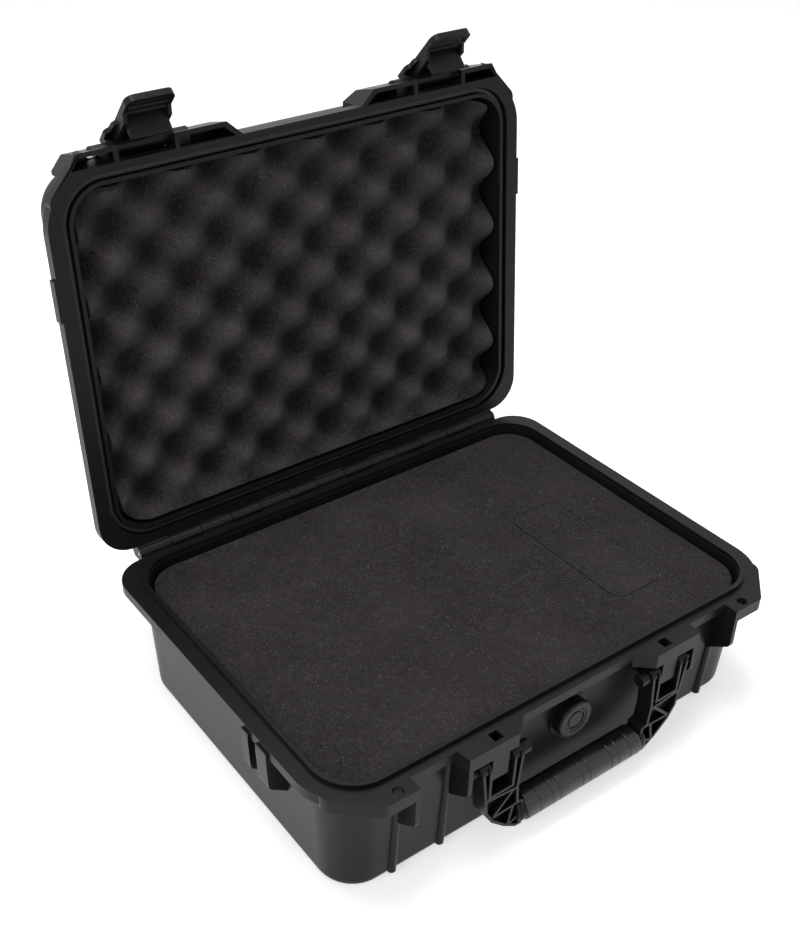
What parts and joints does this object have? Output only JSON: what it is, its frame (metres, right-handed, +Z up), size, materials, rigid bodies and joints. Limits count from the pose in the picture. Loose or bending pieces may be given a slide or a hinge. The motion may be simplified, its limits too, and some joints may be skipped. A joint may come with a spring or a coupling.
{
  "type": "microphone case",
  "caption": "Hard carrying case for microphones, open, with a flat die-cut foam insert, egg-crate lid foam, two lift latches, a folding handle and a pressure valve",
  "frame": {"origin": "centre of the flat underside that the case stands on, below the middle of the tub", "axes": "+X to the right across the case, -Y to the front where the latches and the handle are, +Z up"},
  "size_m": [0.3552, 0.3392, 0.3814],
  "materials": {
    "shell": "moulded, satin, lightly pebbled",
    "trim": "moulded, satin",
    "grip": "soft sleeve, satin",
    "steel": "drawn rod",
    "seal": "soft cord",
    "membrane": "porous film",
    "foam": "open-cell foam"
  },
  "bodies": {
    "base": {"base_shell": "shell", "hinge_rod": "steel", "handle_pin_left": "trim", "handle_pin_right": "trim", "valve_body": "trim", "valve_cap": "trim", "valve_ring": "seal", "valve_nut": "trim", "valve_membrane": "membrane", "foam_floor": "foam", "foam_middle": "foam", "foam_top": "foam", "foam_plug": "foam"},
    "lid": {"lid_shell": "shell", "lid_seal": "seal", "lid_foam": "foam", "latch_pin_left": "steel", "latch_pin_right": "steel"},
    "latch_left": {"latch_left": "trim"},
    "latch_right": {"latch_right": "trim"},
    "handle": {"handle_frame": "shell", "handle_grip": "grip"}
  },
  "joints": [
    {"name": "lid_hinge", "type": "hinge", "parent": "base", "child": "lid", "pos_m": [0, 0.1315, 0.0865], "axis": [-1, 0, 0], "range_deg": [-95.5, 0]},
    {"name": "latch_left_turn", "type": "hinge", "parent": "lid", "child": "latch_left", "pos_m": [-0.108, 0.16811, 0.34669], "axis": [-1, 0, 0], "range_deg": [-42.5, 62.5]},
    {"name": "latch_right_turn", "type": "hinge", "parent": "lid", "child": "latch_right", "pos_m": [0.108, 0.16811, 0.34669], "axis": [-1, 0, 0], "range_deg": [-42.5, 62.5]},
    {"name": "handle_swing", "type": "hinge", "parent": "base", "child": "handle", "pos_m": [0, -0.131, 0.069], "axis": [-1, 0, 0], "range_deg": [-4, 100]}
  ]
}
